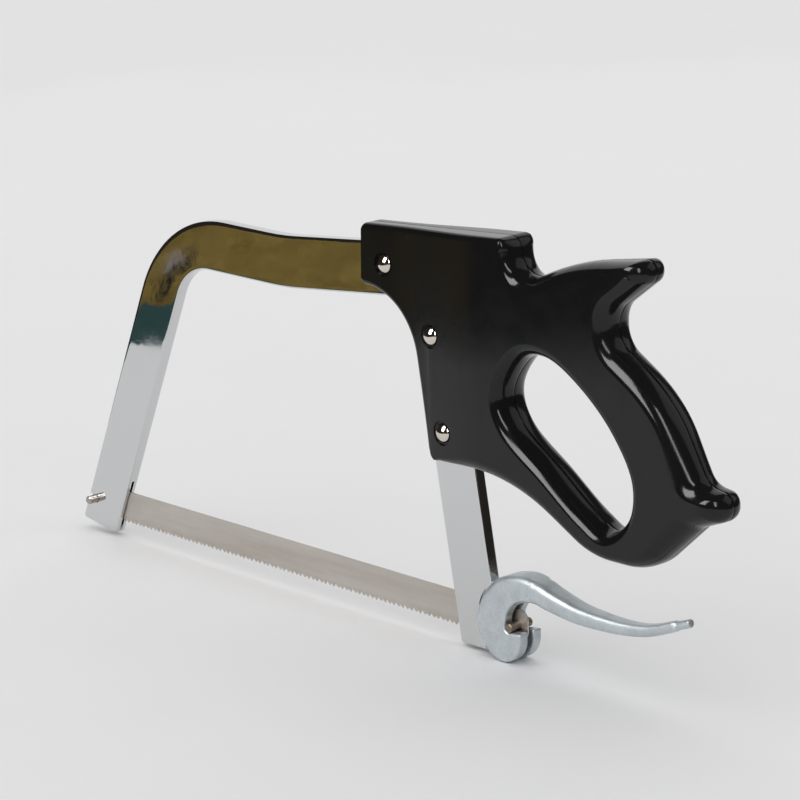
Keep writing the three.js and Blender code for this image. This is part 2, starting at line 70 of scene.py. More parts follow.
across_view = Vector((math.cos(AZIMUTH), math.sin(AZIMUTH), 0))
ahead_view = Vector((-math.sin(AZIMUTH), math.cos(AZIMUTH), 0))
to_camera = Vector((
    math.sin(AZIMUTH) * math.cos(ELEVATION),
    -math.cos(AZIMUTH) * math.cos(ELEVATION),
    math.sin(ELEVATION),
))
upright = to_camera.cross(across_view)
camera_right = math.cos(ROLL) * across_view + math.sin(ROLL) * upright
camera_up = math.cos(ROLL) * upright - math.sin(ROLL) * across_view
camera = bpy.data.objects.new("camera", bpy.data.cameras.new("camera"))
camera.data.sensor_width = SENSOR_WIDTH
camera.data.lens = LENS
turned_to_saw = Matrix((camera_right, camera_up, to_camera)).transposed().to_4x4()
camera.matrix_world = Matrix.Translation(place(*AIM) + DISTANCE * to_camera) @ turned_to_saw
scene.collection.objects.link(camera)
scene.camera = camera
scene.view_settings.view_transform = "Standard"

# Bent bar: one flat steel bar, 25 by 6 mm with softened edges, bent into the front leg, the top and the
# rear leg, then chromed and polished. Its feet are slotted for the blade, the front leg has a notch for
# the front pin, and the rear leg a recess that the cam of the lever bears in.
BAR_WIDTH = 25
BAR_THICKNESS = 6
BAR_EDGE = 0.8
BAR_EDGE_STEPS = 6
ROLL_OFF = 1.6
ROLL_OFF_DROP = 0.03
FRONT_LEG_ANGLE = 67
TOP_HEIGHT = 137.6
TOP_ANGLE = -0.4
RISE_X = 138
RISE_ANGLE = 5.7
REAR_LEG_X = 261.1
REAR_LEG_ANGLE = -79.7
FRONT_BEND_OUTER = 67
FRONT_BEND_INNER = 25
RISE_BEND = 180
REAR_BEND_OUTER = 35
REAR_BEND_INNER = 14
FOOT_LEVEL = -22.9
FOOT_ROUND = 1.5
FRONT_FOOT_CANT = -8.4
SLOT_WIDTH = 1.5
SLOT_HEADROOM = 6
NOTCH_HALF = 2.3
NOTCH_ROUND = 2.25
NOTCH_LIP = 4
NOTCH_LIP_HEIGHT = 1.9
CAM_RADIUS = 20.2
SEAT_OFFSET = 3.05
SEAT_CLEARANCE = 0.3
SCOOP_ROOM = 2.6
CORNER_SHARE = 0.62
FINE_ARC = math.radians(3)
WELD = 1e-7
CHROME = (0.68, 0.685, 0.69, 1)


def heading(degrees):
    """A unit step of the drawing, which holds x and z as a complex number x + z * 1j."""
    return cmath.rect(1, math.radians(degrees))


def cross(a, b):
    return (a.conjugate() * b).imag


def level_line(height):
    return complex(0, height), 1 + 0j


def beside(line, left):
    """The parallel line that far to the left."""
    start, along = line
    return start + left * along * 1j, along


def meet(one, other):
    """Where two lines cross."""
    (start, along), (other_start, other_along) = one, other
    return start + along * cross(other_start - start, other_along) / cross(along, other_along)


def sharp(points):
    """An outline with no rounded corner. Each point of an outline comes with the room that it leaves for
    rounding the edge over, and with the way that its rounded edge is pulled."""
    return [(p, math.inf, 0) for p in points]


def arc(centre, radius, start, end):
    steps = math.ceil(abs(end - start) / FINE_ARC)
    return [centre + cmath.rect(radius, start + (end - start) * k / steps) for k in range(steps + 1)]


def rounded(corners):
    """A closed outline from its corners, each with its radius and, where it has one, its pull."""
    outline = []
    for i, (at, radius, *pulls) in enumerate(corners):
        pull = pulls[0] if pulls else 0
        if radius == 0:
            outline.append((at, math.inf, pull))
            continue
        back = corners[i - 1][0] - at
        back /= abs(back)
        ahead = corners[(i + 1) % len(corners)][0] - at
        ahead /= abs(ahead)
        half = abs(cmath.phase(ahead / back)) / 2
        turn = math.copysign(math.pi - 2 * half, cross(ahead, back))
        middle = back + ahead
        centre = at + middle / abs(middle) * radius / math.sin(half)
        start = at + back * radius / math.tan(half)
        steps = math.ceil(abs(turn) / FINE_ARC)
        room = CORNER_SHARE * radius if turn > 0 else math.inf
        for k in range(steps + 1):
            outline.append((centre + (start - centre) * cmath.rect(1, turn * k / steps), room, pull))
    return outline


def inward_normals(points):
    """Unit normals to the left of a closed outline."""
    normals = []
    for i, p in enumerate(points):
        ahead = points[(i + 1) % len(points)] - p
        behind = p - points[i - 1]
        along = ahead / abs(ahead) + behind / abs(behind)
        normals.append(along * 1j / abs(along))
    return normals


def add_ring(mesh, points, level):
    return [mesh.verts.new(place(p.real, level, p.imag)) for p in points]


def add_bands(mesh, rings):
    for lower, upper in zip(rings, rings[1:]):
        for i in range(len(lower)):
            mesh.faces.new((lower[i - 1], lower[i], upper[i], upper[i - 1]))


def add_skin(mesh, rings):
    """A closed skin over rings: bands between them, and a face on each end."""
    add_bands(mesh, rings)
    mesh.faces.new(rings[0])
    mesh.faces.new(rings[-1])


def finished(name, mesh):
    """A new object of the scene from a bmesh, with its faces pointing outwards."""
    bmesh.ops.recalc_face_normals(mesh, faces=mesh.faces)
    data = bpy.data.meshes.new(name)
    mesh.to_mesh(data)
    mesh.free()
    piece = bpy.data.objects.new(name, data)
    scene.collection.objects.link(piece)
    return piece


def plate(name, outline, thickness, edge=0, edge_steps=1, roll_off=0, drop=0):
    """A flat piece of that thickness, centred on the middle plane, with its edges rounded over by edge, or
    by less where the outline leaves less room. Its faces may fall off by drop over a margin beside that."""
    normals = inward_normals([p for p, room, pull in outline])
    mesh = bmesh.new()

    def ring(side, turn, share):
        verts = []
        for (p, room, pull), normal in zip(outline, normals):
            reach = min(edge, room)
            margin = min(roll_off, room - reach) if roll_off else 0
            fall = drop * margin / roll_off if roll_off else 0
            at = p + (reach * (1 - math.cos(turn)) + share * margin) * normal
            level = thickness / 2 - reach * (1 - math.sin(turn)) - (1 - share) * fall
            verts.append(mesh.verts.new(place(at.real, side * level, at.imag)))
        return verts

    turns = [math.pi / 2 * k / edge_steps for k in range(edge_steps + 1)] if edge else [math.pi / 2]
    stations = [(turn, 0) for turn in turns]
    if roll_off:
        stations += [(math.pi / 2, 0.5), (math.pi / 2, 1)]
    near_side = [ring(-1, *station) for station in reversed(stations)]
    far_side = [ring(1, *station) for station in stations]
    add_skin(mesh, near_side + far_side)
    bmesh.ops.remove_doubles(mesh, verts=mesh.verts, dist=WELD)
    return finished(name, mesh)


def settle(piece):
    """Turns what a piece's modifiers make into its own mesh."""
    evaluated = piece.evaluated_get(bpy.context.evaluated_depsgraph_get())
    settled = bpy.data.meshes.new_from_object(evaluated)
    piece.modifiers.clear()
    piece.data = settled


def combine(piece, other, operation):
    """Cuts another solid out of a piece, or joins it on."""
    boolean = piece.modifiers.new("combine", "BOOLEAN")
    boolean.operation = operation
    boolean.solver = "MANIFOLD"
    boolean.object = other
    settle(piece)
    bpy.data.objects.remove(other)


def polished_shading(piece, sharp_angle):
    """Smooth shading in which flat faces stay flat up to their rounded edges."""
    piece.data.shade_smooth()
    piece.data.set_sharp_from_angle(angle=math.radians(sharp_angle))
    weighted = piece.modifiers.new("weighted", "WEIGHTED_NORMAL")
    weighted.keep_sharp = True
    settle(piece)


front_leg = (0j, heading(FRONT_LEG_ANGLE))
top = (complex(RISE_X, TOP_HEIGHT), heading(TOP_ANGLE))
rise = (complex(RISE_X, TOP_HEIGHT), heading(RISE_ANGLE))
rear_leg = (complex(REAR_LEG_X, 0), heading(REAR_LEG_ANGLE))
feet = level_line(FOOT_LEVEL)
front_sole = (meet(beside(front_leg, -BAR_WIDTH / 2), feet), heading(FRONT_FOOT_CANT))


def bar_outline(grow):
    """The bar's outline, larger all round by grow."""
    half = BAR_WIDTH / 2 + grow

    def bend(one, other, side, radius):
        return meet(beside(one, side), beside(other, side)), radius

    def foot(leg, side, sole):
        return meet(beside(leg, side), beside(sole, -grow)), FOOT_ROUND

    return rounded([
        foot(front_leg, -half, front_sole),
        bend(front_leg, top, -half, FRONT_BEND_INNER),
        bend(top, rise, -half, RISE_BEND),
        bend(rise, rear_leg, -half, REAR_BEND_INNER),
        foot(rear_leg, -half, feet),
        foot(rear_leg, half, feet),
        bend(rise, rear_leg, half, REAR_BEND_OUTER),
        bend(top, rise, half, RISE_BEND),
        bend(front_leg, top, half, FRONT_BEND_OUTER),
        foot(front_leg, half, front_sole),
    ])


def box_outline(left, right, low, high):
    return sharp([complex(left, low), complex(right, low), complex(right, high), complex(left, high)])


chrome_bar = plate(
    "chrome_bar", bar_outline(0), BAR_THICKNESS, BAR_EDGE, BAR_EDGE_STEPS, ROLL_OFF, ROLL_OFF_DROP)
both_feet = box_outline(-4 * BAR_WIDTH, 16 * BAR_WIDTH, 3 * FOOT_LEVEL, SLOT_HEADROOM)
combine(chrome_bar, plate("slots", both_feet, SLOT_WIDTH), "DIFFERENCE")

front_pin_at = complex(FRONT_PIN.x, FRONT_PIN.z)
notch_mouth = front_pin_at.real - 2 * BAR_WIDTH
notch_end = front_pin_at.real + NOTCH_HALF
notch_low = front_pin_at.imag - NOTCH_HALF
notch_high = front_pin_at.imag + NOTCH_HALF
lip_x = front_pin_at.real - NOTCH_LIP
lip_z = notch_high + NOTCH_LIP_HEIGHT
notch = plate("notch", rounded([
    (complex(notch_mouth, notch_low), 0),
    (complex(notch_end, notch_low), NOTCH_ROUND),
    (complex(notch_end, notch_high), NOTCH_ROUND),
    (complex(lip_x, notch_high), 0),
    (complex(lip_x, lip_z), 0),
    (complex(notch_mouth, lip_z), 0),
]), 2 * BAR_THICKNESS)
combine(chrome_bar, notch, "DIFFERENCE")

# The recess: a flat seat for the cam, and above it a round scoop about the rear pin
pin_level = level_line(front_pin_at.imag)
pin_reach = CAM_RADIUS + SEAT_CLEARANCE
rear_pin_at = meet(beside(rear_leg, SEAT_OFFSET + pin_reach), pin_level)
scoop_radius = CAM_RADIUS + SCOOP_ROOM
scoop_rise = math.sqrt(scoop_radius ** 2 - pin_reach ** 2)
scoop_end = cmath.phase(-heading(REAR_LEG_ANGLE) * complex(scoop_rise, pin_reach))
clear_of_leg = beside(rear_leg, 2 * BAR_WIDTH)
below_feet = level_line(2 * FOOT_LEVEL)
recess = plate("recess", sharp([
    meet(beside(rear_leg, SEAT_OFFSET), below_feet),
    meet(clear_of_leg, below_feet),
    meet(clear_of_leg, pin_level),
    *arc(rear_pin_at, scoop_radius, math.pi / 2, scoop_end),
]), 2 * BAR_THICKNESS)
combine(chrome_bar, recess, "DIFFERENCE")
polished_shading(chrome_bar, sharp_angle=35)


def wire(tree, kind, feeds, **settings):
    """Adds a node to a tree, and gives its outputs. Each feed is a value, or the output of another node, for
    the named socket."""
    node = tree.nodes.new(kind)
    for name, value in settings.items():
        setattr(node, name, value)
    for socket, value in feeds.items():
        if isinstance(value, bpy.types.NodeSocket):
            tree.links.new(value, node.inputs[socket])
        else:
            node.inputs[socket].default_value = value
    return node.outputs


def new_material(name):
    """An empty material, and its tree."""
    material = bpy.data.materials.new(name)
    material.use_nodes = True
    material.node_tree.nodes.clear()
    return material, material.node_tree


def new_group(name, kind, inputs, outputs):
    """A node group with named inputs and outputs of given kinds, with the sockets to wire them to."""
    group = bpy.data.node_groups.new(name, kind)
    for in_out, sockets in (("INPUT", inputs), ("OUTPUT", outputs)):
        for socket, value_kind in sockets.items():
            group.interface.new_socket(socket, in_out=in_out, socket_type="NodeSocket" + value_kind)
    return group, group.nodes.new("NodeGroupInput").outputs, group.nodes.new("NodeGroupOutput").inputs


def use_group(tree, group, **values):
    """Places a shared effect in a material, with its own values."""
    node = tree.nodes.new("ShaderNodeGroup")
    node.node_tree = group
    for socket, value in values.items():
        node.inputs[socket].default_value = value
    return node.outputs[0]


def own_place(tree):
    """Where a point is on its own object."""
    return wire(tree, "ShaderNodeTexCoord", {})["Object"]


def noise(tree, vector, scale, detail, roughness, distortion=0):
    return wire(tree, "ShaderNodeTexNoise", {
        "Vector": vector, "Scale": scale, "Detail": detail, "Roughness": roughness, "Distortion": distortion,
    })[0]


def levels(tree, value, low, high, at_low=0, at_high=1, **settings):
    """A value that goes from at_low to at_high while another goes from low to high."""
    return wire(tree, "ShaderNodeMapRange", {
        "Value": value, "From Min": low, "From Max": high, "To Min": at_low, "To Max": at_high,
    }, **settings)[0]


def mixed(tree, share, colour, other):
    """A colour that gives way to another by that share. A mix node takes its colours in sockets 6 and 7, and
    gives the mixed one in its output 2."""
    return wire(tree, "ShaderNodeMix", {0: share, 6: colour, 7: other}, data_type="RGBA")[2]


def bump(tree, height, strength, distance, **over):
    """Fine relief, up to that distance in metres, laid over the relief that Normal names."""
    feeds = {"Height": height, "Strength": strength, "Distance": distance}
    return wire(tree, "ShaderNodeBump", {**feeds, **over})[0]


def surface(tree, values):
    shader = wire(tree, "ShaderNodeBsdfPrincipled", values)
    wire(tree, "ShaderNodeOutputMaterial", {"Surface": shader[0]})


def metal(tree, colour, roughness, normal):
    surface(tree, {"Base Color": colour, "Metallic": 1, "Roughness": roughness, "Normal": normal})


def finish_in(piece, material):
    """Gives a whole piece one finish."""
    piece.data.materials.clear()
    piece.data.materials.append(material)
    for face in piece.data.polygons:
        face.material_index = 0


# Handling haze: soft patches where a polished surface is a little duller
haze, haze_in, haze_out = new_group("handling_haze", "ShaderNodeTree", {
    "Scale": "Float", "Low": "Float", "High": "Float",
}, {"Roughness": "Float"})
haze_patches = noise(haze, own_place(haze), haze_in["Scale"], detail=5, roughness=0.65)
dulled = levels(haze, haze_patches, 0.35, 0.7, haze_in["Low"], haze_in["High"])
haze.links.new(dulled, haze_out["Roughness"])

# Hairlines: fine scratches that run mostly along the piece
hairlines, hair_in, hair_out = new_group("hairlines", "ShaderNodeTree", {
    "Fineness": "Float", "Length": "Float", "Share": "Float",
}, {"Height": "Float"})
hair_scale = wire(hairlines, "ShaderNodeCombineXYZ", {
    "X": hair_in["Length"], "Y": hair_in["Fineness"], "Z": hair_in["Fineness"],
})
hair_stretch = wire(hairlines, "ShaderNodeVectorMath", {
    0: own_place(hairlines), 1: hair_scale[0],
}, operation="MULTIPLY")
hair_noise = noise(hairlines, hair_stretch[0], scale=1, detail=3, roughness=0.6)
hairlines.links.new(levels(hairlines, hair_noise, hair_in["Share"], 0.8), hair_out["Height"])

# Chrome: a mirror over a bar that is only hand-polished, so straight reflections waver in it
chrome, nodes = new_material("polished_chrome")
chrome_place = own_place(nodes)
waver = noise(nodes, chrome_place, scale=75, detail=1.5, roughness=0.45)
waver_bump = bump(nodes, waver, strength=1, distance=0.00006)
swirl = noise(nodes, chrome_place, scale=120, detail=1, roughness=0.4, distortion=1.5)
swirl_bump = bump(nodes, swirl, strength=1, distance=0.000008, Normal=waver_bump)
chrome_hair = use_group(nodes, hairlines, Fineness=2600, Length=160, Share=0.62)
chrome_bump = bump(nodes, chrome_hair, strength=0.4, distance=0.000004, Normal=swirl_bump)
chrome_haze = use_group(nodes, haze, Scale=45, Low=0.02, High=0.085)
metal(nodes, CHROME, chrome_haze, chrome_bump)
finish_in(chrome_bar, chrome)
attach(chrome_bar, "frame")
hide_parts("frame_bar")

# Handle: two halves moulded in glossy black plastic, clamped over the bend and the rear leg of the bar.
# They meet on a fine parting line. The block in front is thin, and swells to the thickness of the grip
# behind it. The grip has a hand hole, a horn above the hand and a spur below it.
HANDLE_LENGTH = 217.5
HUNDREDTH = HANDLE_LENGTH / 100
BLOCK_HALF = 6.6
GRIP_HALF = 10.6
FRONT_EDGE = 2.5
GRIP_EDGE = 7.2
HOLE_EDGE = 0.029 * HANDLE_LENGTH
GRIP_ROLL = 9.4
EDGE_STEPS = 12
ROOM_SHARE = 0.8
POINT_SPACING = 1.5
BLEND_POINTS = 9
TIP_PULL = -0.03 * HANDLE_LENGTH
SWELL_MARGIN = 4.55
SWELL_LENGTH = 60
SWELL_STRIPS = 24
SLOPE_STEP = 0.5
SIDE_TOLERANCE = 0.01
SIDE_FACING = 0.95
SEAM_HALF = 0.1
SEAM_GROOVE = 0.25
SEAM_RISE = 0.3
FRONT_SETBACK = 0.5
FRONT_FOOT_CORNER = 3.4
BLOCK_FLOOR_ANGLE = -5.7
BLOCK_FOOT_CORNER = 1.38
BLOCK_INNER_CORNER = 15.63
HOLE_STEPS = 10
HOLE_PACE = 0.5
BED_CLEARANCE = 0.3
RECESS_RADIUS = 5.7
RECESS_DEPTH = 1
SCREW_RISE_X = 209.6
SCREW_RISE_OFFSET = 2.65
SCREW_LEG_OFFSET = 0.8
SCREW_BEND_HEIGHT = 119.3
SCREW_LEG_HEIGHT = 76
DISC_SIDES = 72
PLASTIC = (0.0095, 0.0095, 0.0095, 1)
DUST = (0.06, 0.06, 0.058, 1)

bar_bend = meet(rise, rear_leg)


def from_bend(x, z):
    """A point of the handle, in hundredths of its length from the bend of the bar."""
    return bar_bend + complex(x, z) * HUNDREDTH


def handle_corner(x, z, radius, pull=0):
    return from_bend(x, z), radius * HUNDREDTH, pull


def between(start, start_time, end, end_time, time):
    """The point on the way from start to end at that time, or beyond them."""
    return ((end_time - time) * start + (time - start_time) * end) / (end_time - start_time)


def smooth_path(points, steps, closed=False, pace=0):
    """A smooth curve through points, with that many steps in each span. The time that a span takes is its
    length to the power of pace, so at 0 each takes the same."""
    count = len(points)
    path = []
    for i in range(count if closed else count - 1):
        if closed:
            near = [points[(i + k) % count] for k in (-1, 0, 1, 2)]
        else:
            near = [points[min(max(i + k, 0), count - 1)] for k in (-1, 0, 1, 2)]
        times = [0]
        for a, b in zip(near, near[1:]):
            times.append(times[-1] + abs(b - a) ** pace)
        for k in range(steps):
            t = times[1] + (times[2] - times[1]) * k / steps
            twos = [between(near[j], times[j], near[j + 1], times[j + 1], t) for j in range(3)]
            threes = [between(twos[j], times[j], twos[j + 1], times[j + 2], t) for j in range(2)]
            path.append(between(threes[0], times[1], threes[1], times[2], t))
    if not closed:
        path.append(points[-1])
    return path


handle_front = beside(rear_leg, FRONT_SETBACK - BAR_WIDTH / 2)
handle_foot = (from_bend(0, -39.45), 1 + 0j)
block_foot = from_bend(-18.85, -4.97)
block_floor = (block_foot, heading(BLOCK_FLOOR_ANGLE))
handle_outline = rounded([
    (meet(handle_front, handle_foot), FRONT_FOOT_CORNER * HUNDREDTH),
    handle_corner(25.38, -39.26, 50.57),
    handle_corner(47.59, -51.03, 20.69),
    handle_corner(62.21, -51.03, 13.79),
    handle_corner(74.80, -39.49, 5.52, TIP_PULL),
    handle_corner(81.43, -36.87, 2.9, TIP_PULL),
    handle_corner(81.43, -32.09, 2.9, TIP_PULL),
    handle_corner(75.45, -31.26, 4.5, TIP_PULL),
    handle_corner(66.25, -15.22, 34.48),
    handle_corner(52.18, -6.71, 5.6),
    handle_corner(52.18, -0.18, 5.6),
    handle_corner(61.84, 7.08, 2.4, TIP_PULL),
    handle_corner(61.84, 11.26, 2.4, TIP_PULL),
    handle_corner(40.78, 7.91, 58),
    handle_corner(26.44, 0.83, 4.60),
    handle_corner(25.79, 10.76, 2.9),
    handle_corner(-18.57, 7.91, 1.84),
    (block_foot, BLOCK_FOOT_CORNER * HUNDREDTH),
    (meet(block_floor, handle_front), BLOCK_INNER_CORNER * HUNDREDTH),
])
block_top_rear = from_bend(25.3, 7.5)
hole_points = smooth_path([from_bend(x, z) for x, z in (
    (24.46, -18.48), (29.29, -13.20), (35.72, -12.74), (44.46, -17.33), (52.83, -25.01), (57.79, -33.66),
    (57.06, -40.64), (51.82, -44.97), (46.30, -42.62), (35.95, -35.22), (25.61, -27.68), (23.31, -22.62),
)], HOLE_STEPS, closed=True, pace=HOLE_PACE)

hole_front = min(p.real for p in hole_points)
swell_start = hole_front - HOLE_EDGE - SWELL_MARGIN - SWELL_LENGTH
folds = [swell_start + SWELL_LENGTH * k / SWELL_STRIPS for k in range(SWELL_STRIPS + 1)]


def swell(x):
    """How far the block has swelled to the thickness of the grip at x."""
    t = min(max((x - swell_start) / SWELL_LENGTH, 0), 1)
    return t * t * (3 - 2 * t)


def face_level(x):
    return BLOCK_HALF + (GRIP_HALF - BLOCK_HALF) * swell(x)


def smooth_sides(half, side):
    """Gives the swelling side of a half the normals of its true curve, so that its folds don't show."""
    normals = []
    for face in half.data.polygons:
        for corner in face.loop_indices:
            normal = half.data.corner_normals[corner].vector
            at = (half.data.vertices[half.data.loops[corner].vertex_index].co - origin) / MM
            slope = (face_level(at.x + SLOPE_STEP) - face_level(at.x - SLOPE_STEP)) / (2 * SLOPE_STEP)
            true_normal = Vector((-slope, side, 0)).normalized()
            on_side = abs(abs(at.y) - face_level(at.x)) < SIDE_TOLERANCE
            if on_side and face.normal.dot(true_normal) > SIDE_FACING:
                normal = true_normal
            normals.append(normal)
    half.data.normals_split_custom_set(normals)


def creased(outline):
    """An outline of points and their pulls, with more points where it crosses the folds of the side."""
    points = []
    for i, (p, pull) in enumerate(outline):
        points.append((p, pull))
        ahead, _ = outline[(i + 1) % len(outline)]
        crossed = [x for x in folds if (x - p.real) * (x - ahead.real) < 0]
        for x in sorted(crossed, reverse=ahead.real < p.real):
            share = (x - p.real) / (ahead.real - p.real)
            points.append((complex(x, p.imag + share * (ahead.imag - p.imag)), pull))
    return points


def spaced(outline):
    """An outline of points and their pulls, with more points along its straight runs."""
    points = []
    for i, (p, pull) in enumerate(outline):
        ahead, ahead_pull = outline[(i + 1) % len(outline)]
        steps = math.ceil(abs(ahead - p) / POINT_SPACING)
        for k in range(steps):
            share = k / steps
            points.append((p + share * (ahead - p), pull + share * (ahead_pull - pull)))
    return points


def blended(values, pick):
    """Values along a closed outline, each replaced by what pick makes of its neighbours."""
    count = len(values)
    near = range(-BLEND_POINTS, BLEND_POINTS + 1)
    return [pick([values[(i + k) % count] for k in near]) for i in range(count)]


def mean(values):
    return sum(values) / len(values)


def with_room(points, pulls, others, limit):
    """An outline whose points know how far their edge can be rounded: the room is that of the largest
    circle that touches the outline there and stays inside, clear of the other points."""
    rooms = []
    for p, normal in zip(points, inward_normals(points)):
        room = limit
        for q in (*points, *others):
            inward = ((q - p) * normal.conjugate()).real
            if inward > 0:
                room = min(room, ROOM_SHARE * abs(q - p) ** 2 / (2 * inward))
        rooms.append(room)
    rooms = blended(blended(rooms, min), mean)
    pulls = blended(blended(pulls, mean), mean)
    return list(zip(points, rooms, pulls))


outer_points, outer_pulls = zip(*spaced(creased([(p, pull) for p, room, pull in handle_outline])))
grip_outline = with_room(outer_points, outer_pulls, hole_points, GRIP_EDGE)
grip_hole = with_room(hole_points, [0] * len(hole_points), outer_points, HOLE_EDGE)


def softness(outline):
    """How far each edge point has softened from the block's crisp edge to the grip's round one. The edge on
    top of the block stays crisp."""
    shares = []
    for p, _, _ in outline:
        on_top = p.real < block_top_rear.real and p.imag > block_top_rear.imag
        shares.append(0 if on_top else swell(p.real))
    return blended(shares, mean)


def handle_half(name, side):
    """One half of the handle, before it is cut for the bar and the screws."""
    mesh = bmesh.new()

    def edge_rings(outline):
        normals = inward_normals([p for p, room, pull in outline])
        shares = softness(outline)

        def ring(inset_share, drop):
            verts = []
            for (p, room, pull), normal, soft in zip(outline, normals, shares):
                reach = FRONT_EDGE + (room - FRONT_EDGE) * soft
                roll = FRONT_EDGE + (GRIP_ROLL - FRONT_EDGE) * soft
                at = p + inset_share * (min(reach, room) * normal + pull)
                level = face_level(p.real) - roll * drop
                verts.append(mesh.verts.new(place(at.real, side * level, at.imag)))
            return verts

        def groove_ring(inset, level):
            return add_ring(mesh, [p + inset * n for (p, _, _), n in zip(outline, normals)], side * level)

        rings = [groove_ring(SEAM_GROOVE, SEAM_HALF), groove_ring(0, SEAM_HALF + SEAM_RISE)]
        for k in range(EDGE_STEPS + 1):
            turn = math.pi / 2 * k / EDGE_STEPS
            rings.append(ring(1 - math.cos(turn), 1 - math.sin(turn)))
        add_bands(mesh, rings)
        return rings[0], rings[-1]

    def fill(*loops):
        verts = [v for loop in loops for v in loop]
        for triangle in tessellate_polygon([[(v.co.x, v.co.z, 0) for v in loop] for loop in loops]):
            mesh.faces.new([verts[i] for i in triangle])

    seam, rim = edge_rings(grip_outline)
    hole_seam, hole_rim = edge_rings(grip_hole)
    fill(seam, hole_seam)
    limits = [-math.inf, *folds, math.inf]
    for low, high in zip(limits, limits[1:]):
        strip = [v for v, (p, _, _) in zip(rim, grip_outline) if low <= p.real <= high]
        if high == math.inf:
            fill(strip, hole_rim)
        else:
            mesh.faces.new(strip)
    return finished(name, mesh)


def disc_outline(centre, radius, sides=DISC_SIDES):
    return sharp([centre + radius * cmath.rect(1, 2 * math.pi * k / sides) for k in range(sides)])


screw_line = beside(rear_leg, SCREW_LEG_OFFSET)
screw_places = (
    meet(beside(rise, SCREW_RISE_OFFSET), (complex(SCREW_RISE_X, 0), 1j)),
    meet(screw_line, level_line(SCREW_BEND_HEIGHT)),
    meet(screw_line, level_line(SCREW_LEG_HEIGHT)),
)

plastic, nodes = new_material("gloss_black_plastic")
plastic_place = own_place(nodes)
sink = noise(nodes, plastic_place, scale=38, detail=1, roughness=0.4)
sink_bump = bump(nodes, sink, strength=1, distance=0.00005)
peel = noise(nodes, plastic_place, scale=900, detail=2, roughness=0.5)
peel_bump = bump(nodes, peel, strength=0.25, distance=0.000006, Normal=sink_bump)
plastic_haze = use_group(nodes, haze, Scale=60, Low=0.1, High=0.19)
specks = wire(nodes, "ShaderNodeTexVoronoi", {"Vector": plastic_place, "Scale": 150, "Randomness": 1})
dusty = levels(nodes, specks["Distance"], 0.03, 0.05, at_low=0.6, at_high=0)
surface(nodes, {
    "Base Color": mixed(nodes, dusty, PLASTIC, DUST), "Roughness": plastic_haze, "IOR": 1.5,
    "Specular IOR Level": 0.31, "Normal": peel_bump,
})

for name, side, node in (("handle_near", -1, "handle_half_near"), ("handle_far", 1, "handle_half_far")):
    half = handle_half(name, side)
    bed = plate("bed", bar_outline(BED_CLEARANCE), BAR_THICKNESS + 2 * BED_CLEARANCE)
    combine(half, bed, "DIFFERENCE")
    for at in screw_places:
        screw_recess = plate("screw_recess", disc_outline(at, RECESS_RADIUS), 2 * GRIP_HALF)
        floor_level = face_level(at.real) - RECESS_DEPTH
        screw_recess.data.transform(Matrix.Translation((0, side * (floor_level + GRIP_HALF) * MM, 0)))
        combine(half, screw_recess, "DIFFERENCE")
    polished_shading(half, sharp_angle=40)
    smooth_sides(half, side)
    finish_in(half, plastic)
    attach(half, "frame")
    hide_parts(node)

# Handle screws: domed heads of polished nickel, three screws on the near side and the heads of their
# sleeve nuts on the far side, each sunk a little in a round recess of the plastic.
HEAD_DIAMETER = 8.8
HEAD_HEIGHT = 2.2
HEAD_GAP = 0.3
HEAD_SIDES = 64
HEAD_RINGS = 16
FLAT = 1e-7
NICKEL = (0.72, 0.67, 0.6, 1)

nickel, nodes = new_material("polished_nickel")
nickel_hair = use_group(nodes, hairlines, Fineness=1500, Length=1500, Share=0.66)
nickel_bump = bump(nodes, nickel_hair, strength=0.5, distance=0.000006)
metal(nodes, NICKEL, use_group(nodes, haze, Scale=400, Low=0.05, High=0.13), nickel_bump)


def figure(tree, operation, *values):
    return wire(tree, "ShaderNodeMath", dict(enumerate(values)), operation=operation)[0]


def square(tree, value):
    return figure(tree, "MULTIPLY", value, value)


# Each head is a cone blank pressed to a dome: its height follows a ball that passes through the rim
heads, heads_in, heads_out = new_group("domed_heads", "GeometryNodeTree", {
    "Places": "Geometry", "Head radius": "Float", "Head height": "Float",
}, {"Heads": "Geometry"})
head_radius = heads_in["Head radius"]
head_height = heads_in["Head height"]
blank = wire(heads, "GeometryNodeMeshCone", {
    "Vertices": HEAD_SIDES, "Side Segments": HEAD_RINGS, "Radius Top": 0,
    "Radius Bottom": head_radius, "Depth": head_height,
}, fill_type="TRIANGLE_FAN")
blank_at = wire(heads, "GeometryNodeInputPosition", {})[0]
blank_x, blank_y, blank_z = wire(heads, "ShaderNodeSeparateXYZ", {0: blank_at})
slant_squared = figure(heads, "ADD", square(heads, head_radius), square(heads, head_height))
ball = figure(heads, "DIVIDE", slant_squared, figure(heads, "MULTIPLY", head_height, 2))
ball_sunk = figure(heads, "SUBTRACT", ball, head_height)
out_squared = figure(heads, "ADD", square(heads, blank_x), square(heads, blank_y))
inside = figure(heads, "MAXIMUM", figure(heads, "SUBTRACT", square(heads, ball), out_squared), 0)
dome_level = figure(heads, "SUBTRACT", figure(heads, "SQRT", inside), ball_sunk)
is_underside = figure(heads, "LESS_THAN", blank_z, FLAT)
raised = figure(heads, "MULTIPLY", dome_level, figure(heads, "SUBTRACT", 1, is_underside))
domed = wire(heads, "ShaderNodeCombineXYZ", {0: blank_x, 1: blank_y, 2: raised})
pressed = wire(heads, "GeometryNodeSetPosition", {
    "Geometry": blank["Mesh"], "Position": domed[0],
})
smooth_dome = wire(heads, "GeometryNodeSetShadeSmooth", {"Geometry": pressed[0]})
outward = wire(heads, "GeometryNodeInputNamedAttribute", {"Name": "outward"}, data_type="FLOAT_VECTOR")
facing_out = wire(heads, "FunctionNodeAlignRotationToVector", {"Vector": outward[0]}, axis="Z")
